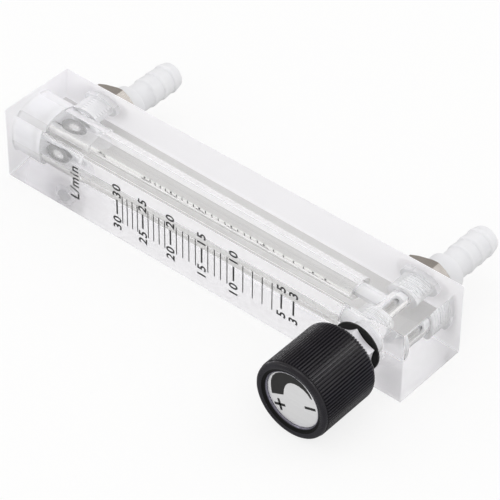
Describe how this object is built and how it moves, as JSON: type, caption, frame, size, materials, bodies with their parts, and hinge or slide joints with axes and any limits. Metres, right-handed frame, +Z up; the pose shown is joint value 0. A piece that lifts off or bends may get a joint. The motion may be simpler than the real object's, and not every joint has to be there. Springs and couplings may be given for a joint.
{
  "type": "oxygen flowmeter",
  "caption": "Clear acrylic block flowmeter lying on its side: tapered bore with a steel ball float, printed scale, rear hose barbs and a fluted needle-valve knob.",
  "frame": {"origin": "middle of the block's long side face, which it lies on", "axes": "+X along the block towards the end with the valve, -Y out of the front face with the scale and the knob, +Z up"},
  "size_m": [0.15, 0.0886, 0.025],
  "materials": {
    "clear_acrylic": "polished, clear",
    "white_nylon": "satin, slightly translucent",
    "clear_silicone": "soft, translucent",
    "polished_steel": "polished",
    "nickel_plate": "bright, slightly worn",
    "black_rubber": "matt",
    "black_plastic": "satin",
    "brass": "turned",
    "brushed_aluminium": "brushed"
  },
  "bodies": {
    "root": {"body_block": "clear_acrylic", "top_plug": "white_nylon", "top_plug_ring": "clear_silicone", "float_stop": "white_nylon", "outlet_barb": "white_nylon", "outlet_nut": "nickel_plate", "outlet_ring": "clear_silicone", "inlet_barb": "white_nylon", "inlet_nut": "nickel_plate", "inlet_ring": "clear_silicone", "valve_bonnet": "nickel_plate", "bonnet_washer": "black_rubber", "valve_seat": "white_nylon"},
    "float": {"float_ball": "polished_steel"},
    "stem_seal": {"stem_ring": "black_rubber"},
    "knob": {"knob": "black_plastic", "knob_insert": "brass", "knob_screw": "nickel_plate", "knob_disc": "brushed_aluminium", "valve_stem": "polished_steel"}
  },
  "joints": [
    {"name": "float_travel", "type": "slide", "parent": "root", "child": "float", "axis": [1, 0, 0.0062], "range_m": [0, 0.1016]},
    {"name": "valve_travel", "type": "slide", "parent": "root", "child": "stem_seal", "axis": [0, -1, 0], "range_m": [-0.001, 0.0015]},
    {"name": "knob_turn", "type": "hinge", "parent": "stem_seal", "child": "knob", "pos_m": [0.0596, -0.0135, 0.0125], "axis": [0, -1, 0], "range_deg": [-720, 1080]}
  ],
  "couplings": [
    {"joint": "valve_travel", "follows": "knob_turn", "m_per_rad": 0.000079577}
  ]
}
